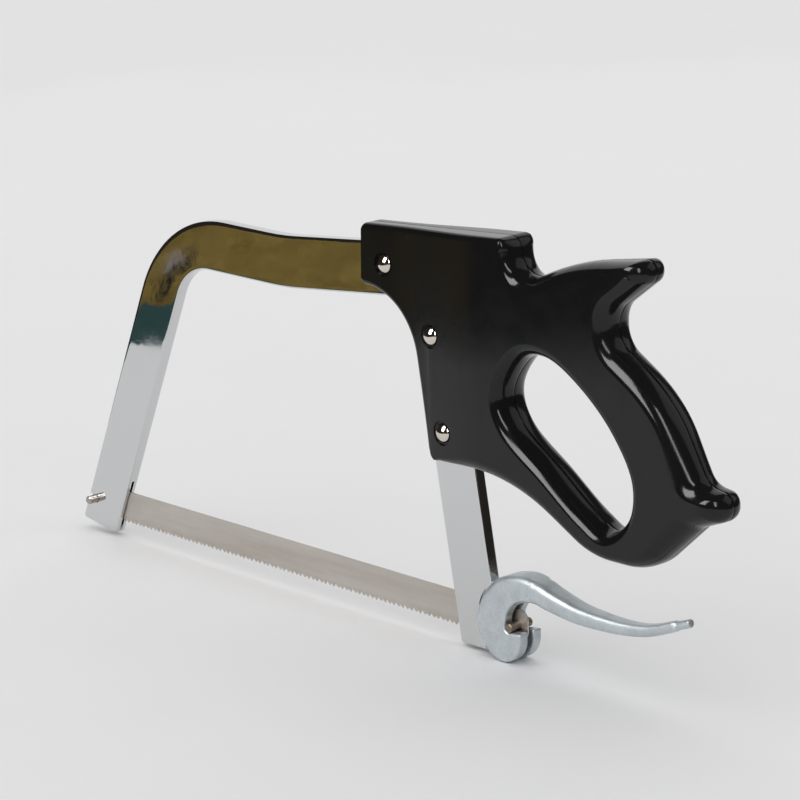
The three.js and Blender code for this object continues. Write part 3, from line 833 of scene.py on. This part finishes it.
set_on = wire(heads, "GeometryNodeInstanceOnPoints", {
    "Points": heads_in["Places"], "Instance": smooth_dome[0], "Rotation": facing_out[0],
})
made = wire(heads, "GeometryNodeRealizeInstances", {0: set_on[0]})
heads.links.new(made[0], heads_out["Heads"])

seats = []
for side in (-1, 1):
    for at in screw_places:
        level = face_level(at.real) - RECESS_DEPTH + HEAD_GAP
        seats.append((place(at.real, side * level, at.imag), (0, side, 0)))
seat_mesh = bpy.data.meshes.new("screw_heads")
seat_mesh.from_pydata([seat for seat, _ in seats], [], [])
seat_outward = seat_mesh.attributes.new("outward", "FLOAT_VECTOR", "POINT")
for entry, (_, direction) in zip(seat_outward.data, seats):
    entry.vector = direction
screw_heads = bpy.data.objects.new("screw_heads", seat_mesh)
scene.collection.objects.link(screw_heads)


def make_by(piece, group, sizes):
    """Makes a piece's mesh with a geometry node tree, from its named sizes in metres."""
    modifier = piece.modifiers.new("made", "NODES")
    modifier.node_group = group
    for item in group.interface.items_tree:
        if item.in_out == "INPUT" and item.name in sizes:
            modifier[item.identifier] = sizes[item.name]
    settle(piece)


make_by(screw_heads, heads, {"Head radius": HEAD_DIAMETER / 2 * MM, "Head height": HEAD_HEIGHT * MM})
finish_in(screw_heads, nickel)
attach(screw_heads, "frame")
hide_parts(*(f"handle_{kind}_{i}" for kind in ("bolt", "nut") for i in (1, 2, 3)))

# Blade: a thin strip of spring steel with raked teeth, ground along its length, that runs through the
# slots of both legs. A cross pin through each end holds it.
BLADE_HEIGHT = 16.4
BLADE_THICKNESS = 0.8
BLADE_EDGE = 0.08
BLADE_EDGE_STEPS = 2
BLADE_END = 5.8
BLADE_END_ROUND = 5
TOOTH_PITCH = 2.94
TOOTH_DEPTH = 1.8
TOOTH_LEAN = 0.75
TOOTH_GAP = 0.04
TOOTH_ROOT = 0.4
TOOTH_SET = 0.12
TOOTH_THINNER = 0.1
PIN_HOLE = 2.15
STEEL = (0.62, 0.58, 0.54, 1)
STEEL_STAIN = (0.5, 0.455, 0.41, 1)
STAIN_STREAKS = (9, 120, 120)

gullet = TOOTH_DEPTH - BLADE_HEIGHT
blade_front = front_pin_at.real - BLADE_END
blade_rear = rear_pin_at.real + BLADE_END
saw_blade = plate("saw_blade", rounded([
    (complex(blade_rear, 0), BLADE_END_ROUND),
    (complex(blade_front, 0), BLADE_END_ROUND),
    (complex(blade_front, gullet), BLADE_END_ROUND),
    (complex(blade_rear, gullet), BLADE_END_ROUND),
]), BLADE_THICKNESS, BLADE_EDGE, BLADE_EDGE_STEPS)
for hole_at in (front_pin_at, rear_pin_at):
    combine(saw_blade, plate("hole", disc_outline(hole_at, PIN_HOLE), BAR_THICKNESS), "DIFFERENCE")

steel, nodes = new_material("ground_blade_steel")
grinding = use_group(nodes, hairlines, Fineness=2400, Length=70, Share=0.3)
along_blade = wire(nodes, "ShaderNodeMapping", {"Vector": own_place(nodes), "Scale": STAIN_STREAKS})
stain = noise(nodes, along_blade[0], scale=1, detail=5, roughness=0.6)
steel_colour = mixed(nodes, levels(nodes, stain, 0.35, 0.68), STEEL, STEEL_STAIN)
steel_bump = bump(nodes, grinding, strength=0.6, distance=0.00001)
metal(nodes, steel_colour, use_group(nodes, haze, Scale=90, Low=0.3, High=0.48), steel_bump)

# One tooth, repeated along the blade and set to the left and right in turn
teeth_tree, teeth_in, teeth_out = new_group("saw_teeth", "GeometryNodeTree", {
    "Tooth": "Geometry", "Count": "Int", "Pitch": "Float", "Set": "Float",
}, {"Teeth": "Geometry"})
step_along = wire(teeth_tree, "ShaderNodeCombineXYZ", {0: teeth_in["Pitch"]})
tooth_line = wire(teeth_tree, "GeometryNodeMeshLine", {
    "Count": teeth_in["Count"], "Offset": step_along[0],
})
tooth_number = wire(teeth_tree, "GeometryNodeInputIndex", {})[0]
tooth_side = figure(teeth_tree, "MULTIPLY_ADD", figure(teeth_tree, "MODULO", tooth_number, 2), 2, -1)
set_out = wire(teeth_tree, "ShaderNodeCombineXYZ", {
    1: figure(teeth_tree, "MULTIPLY", tooth_side, teeth_in["Set"]),
})
set_line = wire(teeth_tree, "GeometryNodeSetPosition", {
    "Geometry": tooth_line[0], "Offset": set_out[0],
})
tooth_row = wire(teeth_tree, "GeometryNodeInstanceOnPoints", {
    "Points": set_line[0], "Instance": teeth_in["Tooth"],
})
cut_row = wire(teeth_tree, "GeometryNodeRealizeInstances", {0: tooth_row[0]})
teeth_tree.links.new(cut_row[0], teeth_out["Teeth"])

blade_low = level_line(-BLADE_HEIGHT)
teeth_start = meet(beside(front_leg, -BAR_WIDTH / 2), blade_low).real - TOOTH_PITCH
teeth_end = meet(beside(rear_leg, -BAR_WIDTH / 2), blade_low).real + TOOTH_PITCH
tooth_count = math.floor((teeth_end - teeth_start) / TOOTH_PITCH)
tooth_front = teeth_start + TOOTH_GAP
tooth_rear = teeth_start + TOOTH_PITCH - TOOTH_GAP
teeth = plate("teeth", sharp([
    complex(tooth_front, gullet + TOOTH_ROOT),
    complex(tooth_front, gullet),
    complex(teeth_start + TOOTH_LEAN * TOOTH_PITCH, -BLADE_HEIGHT),
    complex(tooth_rear, gullet),
    complex(tooth_rear, gullet + TOOTH_ROOT),
]), BLADE_THICKNESS - TOOTH_THINNER)
make_by(teeth, teeth_tree, {"Count": tooth_count, "Pitch": TOOTH_PITCH * MM, "Set": TOOTH_SET * MM})
combine(saw_blade, teeth, "UNION")
polished_shading(saw_blade, sharp_angle=30)
finish_in(saw_blade, steel)
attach(saw_blade, "blade")
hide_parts("blade")

# Blade pins: two turned steel pins with chamfered ends. The front one lies in the notch of the front leg,
# the rear one in the hook of the lever, where it has dulled to brown.
FRONT_PIN_DIAMETER = 4
FRONT_PIN_LENGTH = 16.4
REAR_PIN_DIAMETER = 4.2
REAR_PIN_LENGTH = 14
PIN_CHAMFER = 0.4
PIN_SIDES = 64
PIN_STEEL = (0.46, 0.43, 0.4, 1)
PIN_STAIN = (0.34, 0.31, 0.28, 1)
DULL_STEEL = (0.3, 0.25, 0.2, 1)
DULL_STAIN = (0.16, 0.13, 0.1, 1)


def turned_pin(name, at, diameter, length):
    mesh = bmesh.new()
    radius = diameter / 2
    profile = (
        (radius - PIN_CHAMFER, -length / 2), (radius, PIN_CHAMFER - length / 2),
        (radius, length / 2 - PIN_CHAMFER), (radius - PIN_CHAMFER, length / 2),
    )
    rings = []
    for reach, level in profile:
        rings.append(add_ring(mesh, [p for p, _, _ in disc_outline(at, reach, PIN_SIDES)], level))
    add_skin(mesh, rings)
    pin = finished(name, mesh)
    polished_shading(pin, sharp_angle=30)
    return pin


def pin_material(name, colour, stain, low, high):
    """Turned steel, stained in spots. Its roughness goes from low to high."""
    material, nodes = new_material(name)
    spots = noise(nodes, own_place(nodes), scale=350, detail=4, roughness=0.6)
    spotted = mixed(nodes, levels(nodes, spots, 0.4, 0.65), colour, stain)
    tool_marks = use_group(nodes, hairlines, Fineness=900, Length=3500, Share=0.4)
    turned = bump(nodes, tool_marks, strength=0.3, distance=0.000004)
    metal(nodes, spotted, use_group(nodes, haze, Scale=300, Low=low, High=high), turned)
    return material


front_pin = turned_pin("front_pin", front_pin_at, FRONT_PIN_DIAMETER, FRONT_PIN_LENGTH)
finish_in(front_pin, pin_material("turned_pin_steel", PIN_STEEL, PIN_STAIN, low=0.25, high=0.4))
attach(front_pin, "blade")
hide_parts("front_blade_pin")

rear_pin = turned_pin("rear_pin", rear_pin_at, REAR_PIN_DIAMETER, REAR_PIN_LENGTH)
finish_in(rear_pin, pin_material("dulled_pin_steel", DULL_STEEL, DULL_STAIN, low=0.3, high=0.5))
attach(rear_pin, "blade")
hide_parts("rear_blade_pin")

# Cam lever: a drop-forged hook with a swept tail, zinc plated. A slot forks it over the blade, its hook
# holds the rear pin, and its rim, a spiral cam, bears on the rear leg.
LEVER_WIDTH = 14
LEVER_EDGE = 0.9
LEVER_EDGE_STEPS = 6
CROWN_EDGE = 3
CROWN_FADE = 0.15
HOOK_STEPS = 8
CAM_FALL_PER_RADIAN = 2.4
CAM_CONTACT = math.radians(190.3)
CAM_START = math.radians(180)
CAM_END = math.radians(255)
LIP_RADIUS = 0.594 * CAM_RADIUS
LIP_TOP = -0.064 * CAM_RADIUS
LIP_START = math.radians(-85)
LIP_END = math.radians(5)
PIN_SEAT = 2.4
PIN_SEAT_START = math.radians(-60)
PIN_SEAT_END = math.radians(-200)
LEVER_SLOT = 3.6
SLOT_TOP = 8.7
END_SWEEP = 10.38
TAIL_HEIGHT = 11.6
TAIL_WIDTH = 13.9
TAIL_TIP_HEIGHT = 4.8
TAIL_TIP_WIDTH = 5
TAIL_TAPER = 1.4
TAIL_SQUARENESS = 0.55
TAIL_STEPS = 10
TAIL_SIDES = 72
TIP_DIAMETER = 4
TIP_LENGTH = 8.5
TIP_SHOULDER = 0.3
FORGING_GRAIN = 0.00042
FORGING_SMOOTH = 10
ZINC = (0.63, 0.675, 0.7, 1)
ZINC_PATCH = (0.555, 0.6, 0.625, 1)
ZINC_SPECK = (0.36, 0.39, 0.41, 1)


def from_pin(*places):
    """Points of the lever, in cam radii from the rear pin."""
    return [rear_pin_at + complex(x, z) * CAM_RADIUS for x, z in places]


def cam_point(angle):
    return rear_pin_at + cmath.rect(CAM_RADIUS - CAM_FALL_PER_RADIAN * (angle - CAM_CONTACT), angle)


hook_crown = from_pin(
    (0.693, 1.208), (0.446, 1.252), (0.183, 1.238), (-0.163, 1.153), (-0.520, 0.970), (-0.861, 0.525))
hook_arch = smooth_path([*hook_crown, cam_point(CAM_START)], HOOK_STEPS)
hook_mouth = smooth_path(from_pin(
    (-0.094, 0.248), (0.005, 0.421), (0.153, 0.579), (0.351, 0.683), (0.624, 0.723),
), HOOK_STEPS)
cam_steps = math.ceil((CAM_END - CAM_START) / FINE_ARC)
cam_rim = [cam_point(CAM_START + (CAM_END - CAM_START) * k / cam_steps) for k in range(1, cam_steps + 1)]
lip_centre = cam_point(CAM_END) + complex(0, LIP_RADIUS)
crown_rooms = [min(CROWN_EDGE, LEVER_EDGE + CROWN_FADE * k) for k in range(len(hook_arch))][::-1]
cam_lever = plate("cam_lever", [
    *((p, room, 0) for p, room in zip(hook_arch, crown_rooms)),
    *((p, LEVER_EDGE, 0) for p in (
        *cam_rim,
        *arc(lip_centre, LIP_RADIUS, LIP_START, LIP_END),
        complex(lip_centre.real + LIP_RADIUS, rear_pin_at.imag + LIP_TOP),
        *arc(rear_pin_at, PIN_SEAT, PIN_SEAT_START, PIN_SEAT_END),
        *hook_mouth,
    )),
], LEVER_WIDTH, CROWN_EDGE, LEVER_EDGE_STEPS)

tail_path = smooth_path(from_pin(
    (0.297, 0.955), (0.743, 0.931), (1.089, 0.842), (1.832, 0.698),
    (2.525, 0.663), (3.218, 0.678), (3.911, 0.782), (4.653, 1.050),
), TAIL_STEPS)
tail_headings = []
for before, after in zip([tail_path[0], *tail_path], [*tail_path[1:], tail_path[-1]]):
    tail_headings.append((after - before) / abs(after - before))
tail_spans = [abs(b - a) for a, b in zip(tail_path, tail_path[1:])]
tail_mesh = bmesh.new()


def tail_ring(at, along, height, width, squareness):
    ring = []
    for k in range(TAIL_SIDES):
        angle = 2 * math.pi * k / TAIL_SIDES
        rise_share = math.copysign(abs(math.sin(angle)) ** squareness, math.sin(angle))
        side_share = math.copysign(abs(math.cos(angle)) ** squareness, math.cos(angle))
        p = at + along * 1j * height / 2 * rise_share
        ring.append(tail_mesh.verts.new(place(p.real, width / 2 * side_share, p.imag)))
    return ring


tail_rings = []
for i, (at, along) in enumerate(zip(tail_path, tail_headings)):
    gone = sum(tail_spans[:i]) / sum(tail_spans)
    height = TAIL_TIP_HEIGHT + (TAIL_HEIGHT - TAIL_TIP_HEIGHT) * (1 - gone) ** TAIL_TAPER
    width = TAIL_WIDTH + (TAIL_TIP_WIDTH - TAIL_WIDTH) * gone
    tail_rings.append(tail_ring(at, along, height, width, TAIL_SQUARENESS))
for reach in (TIP_SHOULDER, TIP_LENGTH):
    tip_at = tail_path[-1] + tail_headings[-1] * reach
    tail_rings.append(tail_ring(tip_at, tail_headings[-1], TIP_DIAMETER, TIP_DIAMETER, squareness=1))
add_skin(tail_mesh, tail_rings)
combine(cam_lever, finished("tail", tail_mesh), "UNION")
below_pin = box_outline(
    rear_pin_at.real - 2 * CAM_RADIUS, rear_pin_at.real + 2 * CAM_RADIUS,
    rear_pin_at.imag - 2 * CAM_RADIUS, rear_pin_at.imag + SLOT_TOP)
combine(cam_lever, plate("fork", below_pin, LEVER_SLOT), "DIFFERENCE")
combine(cam_lever, plate("fork_end", disc_outline(rear_pin_at, END_SWEEP), LEVER_SLOT), "DIFFERENCE")
forged = cam_lever.modifiers.new("forged", "REMESH")
forged.mode = "VOXEL"
forged.voxel_size = FORGING_GRAIN
softened = cam_lever.modifiers.new("softened", "SMOOTH")
softened.iterations = FORGING_SMOOTH
settle(cam_lever)
cam_lever.data.shade_smooth()

zinc, nodes = new_material("zinc_plate")
zinc_place = own_place(nodes)
spangle = noise(nodes, zinc_place, scale=1500, detail=3, roughness=0.7)
dents = noise(nodes, zinc_place, scale=170, detail=3, roughness=0.5)
dent_bump = bump(nodes, dents, strength=1, distance=0.00004)
zinc_bump = bump(nodes, spangle, strength=0.8, distance=0.00005, Normal=dent_bump)
zinc_patched = mixed(nodes, levels(nodes, dents, 0.35, 0.68), ZINC, ZINC_PATCH)
zinc_grain = levels(nodes, spangle, 0.52, 0.7, at_low=0, at_high=0.6)
zinc_speckled = mixed(nodes, zinc_grain, zinc_patched, ZINC_SPECK)
metal(nodes, zinc_speckled, use_group(nodes, haze, Scale=220, Low=0.46, High=0.6), zinc_bump)
finish_in(cam_lever, zinc)
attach(cam_lever, "lever")
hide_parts("tension_lever")

# Studio: a white paper floor before a pale backdrop, lit by a lamp overhead and one on each side. The metal
# and the plastic mirror a white paper, a dim brown room beyond its left edge, a window at the front left,
# a light above the camera and pale walls at the right and at the back.
PAPER = (0.9, 0.9, 0.905, 1)
PAPER_SHADE = (0.8865, 0.8865, 0.891425, 1)
SQUARE = ((-1, -1), (1, -1), (1, 1), (-1, 1))
FLOOR_HALF = 6
PAPER_RIGHT = 0.8
PAPER_BACK = 1.5
PAPER_TOP = 2.2
PAPER_LEFT = (
    (-1.6, -0.385), (-0.1, -0.385), (0, -0.405), (0.06, -0.405), (0.35, -0.16), (PAPER_BACK, -0.16))
ROOM_LEFT = -4
ROOM_RIGHT = -0.3
ROOM_DEPTH = 3
ROOM_RIPPLES = (22, 45, 0)
ROOM_OLIVE = (0.215, 0.155, 0.045, 1)
ROOM_BROWN = (0.13, 0.09, 0.025, 1)
ROOM_DARK = (0.022, 0.019, 0.016, 1)
ROOM_TEAL = (0.03, 0.065, 0.065, 1)
ROOM_LILAC = (0.25, 0.235, 0.24, 1)
BACKGROUND = (0.79, 0.79, 0.795, 1)
WHITE = (1, 1, 1, 1)
AMBIENT = 0.66
MIRROR_LIFT = 0.0004
floor_centre = Vector((origin.x, 0, MIRROR_LIFT))


def on_floor(across, ahead, height=0):
    """A point of the studio in metres, across and ahead as the camera sees it from the drawing's origin."""
    return floor_centre + across * across_view + ahead * ahead_view + Vector((0, 0, height))


def stage_sheet(name, corners, material):
    """A sheet of the studio from the corners of its quads, four for each."""
    data = bpy.data.meshes.new(name)
    data.from_pydata(corners, [], [tuple(range(i, i + 4)) for i in range(0, len(corners), 4)])
    sheet = bpy.data.objects.new(name, data)
    data.materials.append(material)
    scene.collection.objects.link(sheet)
    return sheet


def mirror_sheet(name, corners, material):
    """A sheet of the studio that shows only in what mirrors it."""
    sheet = stage_sheet(name, corners, material)
    sheet.visible_camera = False
    sheet.visible_diffuse = False
    sheet.visible_shadow = False
    sheet.visible_transmission = False


def glow(tree, colour, strength):
    light = wire(tree, "ShaderNodeEmission", {"Color": colour, "Strength": strength})
    wire(tree, "ShaderNodeOutputMaterial", {"Surface": light[0]})


paper, nodes = new_material("studio_paper")
fibre = noise(nodes, own_place(nodes), scale=6, detail=6, roughness=0.6)
surface(nodes, {
    "Base Color": mixed(nodes, levels(nodes, fibre, 0.3, 0.7), PAPER, PAPER_SHADE), "Roughness": 0.9,
    "Specular IOR Level": 0.1,
})
floor = stage_sheet("floor", [FLOOR_HALF * Vector((x, y, 0)) for x, y in SQUARE], paper)
floor.visible_glossy = False
paper_strips = []
for (near, near_left), (far, far_left) in zip(PAPER_LEFT, PAPER_LEFT[1:]):
    paper_strips += [on_floor(near_left, near), on_floor(PAPER_RIGHT, near)]
    paper_strips += [on_floor(PAPER_RIGHT, far), on_floor(far_left, far)]
paper_end, back_left = PAPER_LEFT[-1]
paper_strips += [on_floor(back_left, paper_end), on_floor(PAPER_RIGHT, paper_end)]
paper_strips += [on_floor(PAPER_RIGHT, paper_end, PAPER_TOP), on_floor(back_left, paper_end, PAPER_TOP)]
mirror_sheet("mirrored_paper", paper_strips, paper)

# The room's plan: soft patches of colour, each with its place, half its size and how soft its edge is
dim_room, nodes = new_material("dim_room")


def on_plan(operation, *values):
    return wire(nodes, "ShaderNodeVectorMath", dict(enumerate(values)), operation=operation)


from_centre = on_plan("SUBTRACT", own_place(nodes), floor_centre)[0]
plan = wire(nodes, "ShaderNodeCombineXYZ", {
    0: on_plan("DOT_PRODUCT", from_centre, across_view)["Value"],
    1: on_plan("DOT_PRODUCT", from_centre, ahead_view)["Value"],
})[0]
stretched = on_plan("MULTIPLY", plan, ROOM_RIPPLES)[0]
ripple = noise(nodes, stretched, scale=1, detail=3, roughness=0.55, distortion=1.2)
olive = mixed(nodes, levels(nodes, ripple, 0.36, 0.6), ROOM_BROWN, ROOM_OLIVE)
room_colour = ROOM_DARK
for across, ahead, half_across, half_ahead, soft, colour in (
    (-0.6, -0.03, 0.26, 0.1, 0.02, olive),
    (-0.39, -0.15, 0.045, 0.35, 0.3, ROOM_TEAL),
    (-0.4, 0.04, 0.119, 0.1, 0.04, ROOM_TEAL),
    (-0.64, 0.037, 0.036, 0.0045, 0.6, ROOM_LILAC),
    (-0.65, 0.028, 0.034, 0.0045, 0.6, ROOM_DARK),
    (-0.58, 0.035, 0.05, 0.004, 0.6, ROOM_DARK),
):
    from_patch = on_plan("SUBTRACT", plan, (across, ahead, 0))[0]
    in_halves = on_plan("MULTIPLY", from_patch, (1 / half_across, 1 / half_ahead, 0))[0]
    reach = on_plan("LENGTH", in_halves)["Value"]
    within = levels(nodes, reach, 1 - soft, 1 + soft, at_low=1, at_high=0, interpolation_type="SMOOTHSTEP")
    room_colour = mixed(nodes, within, room_colour, colour)
glow(nodes, room_colour, strength=1)
room_corners = (
    (ROOM_LEFT, -ROOM_DEPTH), (ROOM_RIGHT, -ROOM_DEPTH), (ROOM_RIGHT, ROOM_DEPTH), (ROOM_LEFT, ROOM_DEPTH))
mirror_sheet("room_floor", [on_floor(*corner, -MIRROR_LIFT / 2) for corner in room_corners], dim_room)

# The surroundings: even light on the saw, a dim room in what mirrors them, and a pale backdrop behind it
world = bpy.data.worlds.new("studio")
world.use_nodes = True
sky = world.node_tree
sky.nodes.clear()
path = wire(sky, "ShaderNodeLightPath", {})
ambient = wire(sky, "ShaderNodeBackground", {"Color": WHITE, "Strength": AMBIENT})
dark_room = wire(sky, "ShaderNodeBackground", {"Color": ROOM_DARK, "Strength": 1})
backdrop = wire(sky, "ShaderNodeBackground", {"Color": BACKGROUND, "Strength": 1})
mirrored = wire(sky, "ShaderNodeMixShader", {
    0: path["Is Glossy Ray"], 1: ambient[0], 2: dark_room[0],
})
seen = wire(sky, "ShaderNodeMixShader", {
    0: path["Is Camera Ray"], 1: mirrored[0], 2: backdrop[0],
})
wire(sky, "ShaderNodeOutputWorld", {"Surface": seen[0]})
scene.world = world


def soft_window(name, azimuth, elevation, distance, width, height, radiance):
    """A rectangular soft light that shows only in what mirrors it."""
    level = math.cos(math.radians(elevation))
    direction = Vector((
        level * math.cos(math.radians(azimuth)),
        level * math.sin(math.radians(azimuth)),
        math.sin(math.radians(elevation)),
    ))
    sideways = direction.cross(Vector((0, 0, 1))).normalized()
    upward = sideways.cross(direction)
    centre = place(*AIM) + distance * direction
    material, nodes = new_material(name)
    glow(nodes, WHITE, radiance)
    mirror_sheet(name, [
        centre + a * width / 2 * sideways + b * height / 2 * upward for a, b in SQUARE
    ], material)


def soft_lamp(name, at, size, power):
    """A large square lamp that faces the saw."""
    lamp = bpy.data.lights.new(name, "AREA")
    lamp.shape = "SQUARE"
    lamp.size = size
    lamp.energy = power
    light = bpy.data.objects.new(name, lamp)
    direction = at - place(*AIM)
    light.matrix_world = Matrix.Translation(at) @ direction.to_track_quat("Z", "Y").to_matrix().to_4x4()
    light.visible_glossy = False
    scene.collection.objects.link(light)


soft_window("window_light", azimuth=-99.4, elevation=34.4, distance=2, width=0.85, height=1.5, radiance=10)
soft_window("camera_light", azimuth=-46.1, elevation=30, distance=2, width=0.3, height=1.2, radiance=8.5)
soft_window("pale_wall", azimuth=48, elevation=38, distance=2.2, width=2.2, height=1.6, radiance=0.6)
soft_window("back_wall", azimuth=136.4, elevation=24, distance=1.45, width=1.8, height=1.4, radiance=0.8)
soft_lamp("overhead_lamp", on_floor(across=0.1, ahead=1.8, height=3.2), size=5, power=34)
soft_lamp("left_lamp", on_floor(across=-2.2, ahead=-0.6, height=2.0), size=1.5, power=4)
soft_lamp("right_lamp", on_floor(across=2.2, ahead=-0.8, height=1.6), size=1.5, power=4)
